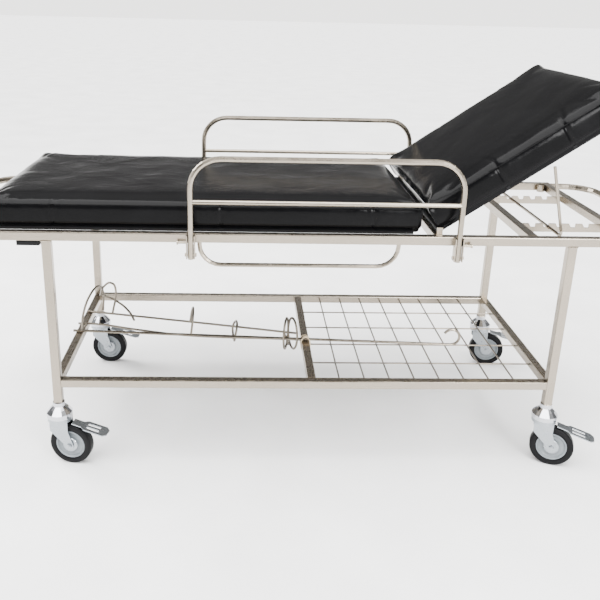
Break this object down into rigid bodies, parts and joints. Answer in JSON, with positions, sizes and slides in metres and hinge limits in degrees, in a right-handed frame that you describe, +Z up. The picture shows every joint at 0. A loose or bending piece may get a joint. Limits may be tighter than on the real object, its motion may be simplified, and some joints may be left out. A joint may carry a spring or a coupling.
{
  "type": "stretcher trolley",
  "caption": "Steel hospital stretcher trolley with a black padded top, raised backrest on a rod prop, fold-down side rails, half-mesh lower shelf and braked swivel castors.",
  "frame": {"origin": "on the floor, under the middle of the whole trolley's box; the frame's own middle line is 17.5 mm to its right, since the head left castor is swung out", "axes": "+X towards the head end, -Y the patient's left side, +Z up"},
  "size_m": [2.102, 0.749, 1.1397],
  "materials": {
    "steel": "satin stainless steel",
    "chrome": "bright plated",
    "zinc": "zinc plated pressed steel",
    "vinyl": "glossy black vinyl",
    "board": "black painted plywood",
    "tyre": "solid rubber",
    "hub": "light grey moulded"
  },
  "bodies": {
    "frame": {"backrest_hinge_bar": "steel", "flat_mattress": "vinyl", "foot_cross_bar": "steel", "foot_left_castor_race": "chrome", "foot_left_leg": "steel", "foot_push_handle": "steel", "foot_right_castor_race": "chrome", "foot_right_leg": "steel", "foot_shelf_bar": "steel", "head_cross_bar": "steel", "head_left_castor_race": "chrome", "head_left_leg": "steel", "head_push_handle": "steel", "head_right_castor_race": "chrome", "head_right_leg": "steel", "head_shelf_bar": "steel", "iv_pole": "steel", "iv_pole_socket": "steel", "left_accessory_rail": "steel", "left_foot_rail_bracket": "steel", "left_head_rail_bracket": "steel", "left_ratchet_rack": "steel", "left_shelf_bar": "steel", "left_top_rail": "steel", "mattress_base_panel": "board", "middle_shelf_bar": "steel", "oxygen_cylinder_cage": "steel", "rack_cross_bar": "steel", "right_accessory_rail": "steel", "right_foot_rail_bracket": "steel", "right_head_rail_bracket": "steel", "right_ratchet_rack": "steel", "right_shelf_bar": "steel", "right_top_rail": "steel", "shelf_mesh": "steel"},
    "backrest": {"backrest_board": "board", "backrest_cushion": "vinyl"},
    "prop": {"prop_bail": "steel"},
    "left_side_rail": {"left_side_rail": "steel"},
    "left_foot_lock_pin": {"left_foot_lock_pin": "steel"},
    "left_head_lock_pin": {"left_head_lock_pin": "steel"},
    "right_side_rail": {"right_side_rail": "steel"},
    "right_foot_lock_pin": {"right_foot_lock_pin": "steel"},
    "right_head_lock_pin": {"right_head_lock_pin": "steel"},
    "foot_left_fork": {"foot_left_castor_fork": "zinc"},
    "foot_left_wheel": {"foot_left_tyre": "tyre", "foot_left_hub": "hub"},
    "foot_left_pedal": {"foot_left_brake_pedal": "zinc"},
    "foot_right_fork": {"foot_right_castor_fork": "zinc"},
    "foot_right_wheel": {"foot_right_tyre": "tyre", "foot_right_hub": "hub"},
    "foot_right_pedal": {"foot_right_brake_pedal": "zinc"},
    "head_left_fork": {"head_left_castor_fork": "zinc"},
    "head_left_wheel": {"head_left_tyre": "tyre", "head_left_hub": "hub"},
    "head_left_pedal": {"head_left_brake_pedal": "zinc"},
    "head_right_fork": {"head_right_castor_fork": "zinc"},
    "head_right_wheel": {"head_right_tyre": "tyre", "head_right_hub": "hub"},
    "head_right_pedal": {"head_right_brake_pedal": "zinc"}
  },
  "joints": [
    {"name": "backrest_tilt", "type": "hinge", "parent": "frame", "child": "backrest", "pos_m": [0.35, 0.01748, 0.7215], "axis": [0, -1, 0], "range_deg": [-32.5, 0]},
    {"name": "prop_fold", "type": "hinge", "parent": "frame", "child": "prop", "pos_m": [0.705, 0.01748, 0.6973], "axis": [0, -1, 0], "range_deg": [-96.5, 0]},
    {"name": "left_side_rail_fold", "type": "hinge", "parent": "frame", "child": "left_side_rail", "pos_m": [0.033, -0.32712, 0.657], "axis": [1, 0, 0], "range_deg": [0, 180]},
    {"name": "left_foot_lock_pin_pull", "type": "slide", "parent": "frame", "child": "left_foot_lock_pin", "axis": [-1, 0, 0], "range_m": [-0.012, 0]},
    {"name": "left_head_lock_pin_pull", "type": "slide", "parent": "frame", "child": "left_head_lock_pin", "axis": [1, 0, 0], "range_m": [-0.012, 0]},
    {"name": "right_side_rail_fold", "type": "hinge", "parent": "frame", "child": "right_side_rail", "pos_m": [0.033, 0.36208, 0.657], "axis": [-1, 0, 0], "range_deg": [0, 180]},
    {"name": "right_foot_lock_pin_pull", "type": "slide", "parent": "frame", "child": "right_foot_lock_pin", "axis": [-1, 0, 0], "range_m": [-0.012, 0]},
    {"name": "right_head_lock_pin_pull", "type": "slide", "parent": "frame", "child": "right_head_lock_pin", "axis": [1, 0, 0], "range_m": [-0.012, 0]},
    {"name": "foot_left_swivel", "type": "hinge", "parent": "frame", "child": "foot_left_fork", "pos_m": [-0.715, -0.30252, 0.15], "axis": [0, 0, 1], "continuous": true},
    {"name": "foot_left_wheel_spin", "type": "hinge", "parent": "foot_left_fork", "child": "foot_left_wheel", "pos_m": [-0.68359, -0.30863, 0.0625], "axis": [0.1908, 0.9816, 0], "continuous": true},
    {"name": "foot_left_brake_press", "type": "hinge", "parent": "foot_left_fork", "child": "foot_left_pedal", "pos_m": [-0.68555, -0.30825, 0.1352], "axis": [0.1908, 0.9816, 0], "range_deg": [-4, 8]},
    {"name": "foot_right_swivel", "type": "hinge", "parent": "frame", "child": "foot_right_fork", "pos_m": [-0.715, 0.33748, 0.15], "axis": [0, 0, 1], "continuous": true},
    {"name": "foot_right_wheel_spin", "type": "hinge", "parent": "foot_right_fork", "child": "foot_right_wheel", "pos_m": [-0.68312, 0.33469, 0.0625], "axis": [0.0872, 0.9962, 0], "continuous": true},
    {"name": "foot_right_brake_press", "type": "hinge", "parent": "foot_right_fork", "child": "foot_right_pedal", "pos_m": [-0.68511, 0.33486, 0.1352], "axis": [0.0872, 0.9962, 0], "range_deg": [-4, 8]},
    {"name": "head_left_swivel", "type": "hinge", "parent": "frame", "child": "head_left_fork", "pos_m": [0.715, -0.30252, 0.15], "axis": [0, 0, 1], "continuous": true},
    {"name": "head_left_wheel_spin", "type": "hinge", "parent": "head_left_fork", "child": "head_left_wheel", "pos_m": [0.74467, -0.31451, 0.0625], "axis": [0.3746, 0.9272, 0], "continuous": true},
    {"name": "head_left_brake_press", "type": "hinge", "parent": "head_left_fork", "child": "head_left_pedal", "pos_m": [0.74282, -0.31376, 0.1352], "axis": [0.3746, 0.9272, 0], "range_deg": [-4, 8]},
    {"name": "head_right_swivel", "type": "hinge", "parent": "frame", "child": "head_right_fork", "pos_m": [0.715, 0.33748, 0.15], "axis": [0, 0, 1], "continuous": true},
    {"name": "head_right_wheel_spin", "type": "hinge", "parent": "head_right_fork", "child": "head_right_wheel", "pos_m": [0.74651, 0.33192, 0.0625], "axis": [0.1736, 0.9848, 0], "continuous": true},
    {"name": "head_right_brake_press", "type": "hinge", "parent": "head_right_fork", "child": "head_right_pedal", "pos_m": [0.74454, 0.33227, 0.1352], "axis": [0.1736, 0.9848, 0], "range_deg": [-4, 8]}
  ],
  "couplings": [
    {"joint": "prop_fold", "follows": "backrest_tilt", "ratio": 2.955}
  ]
}
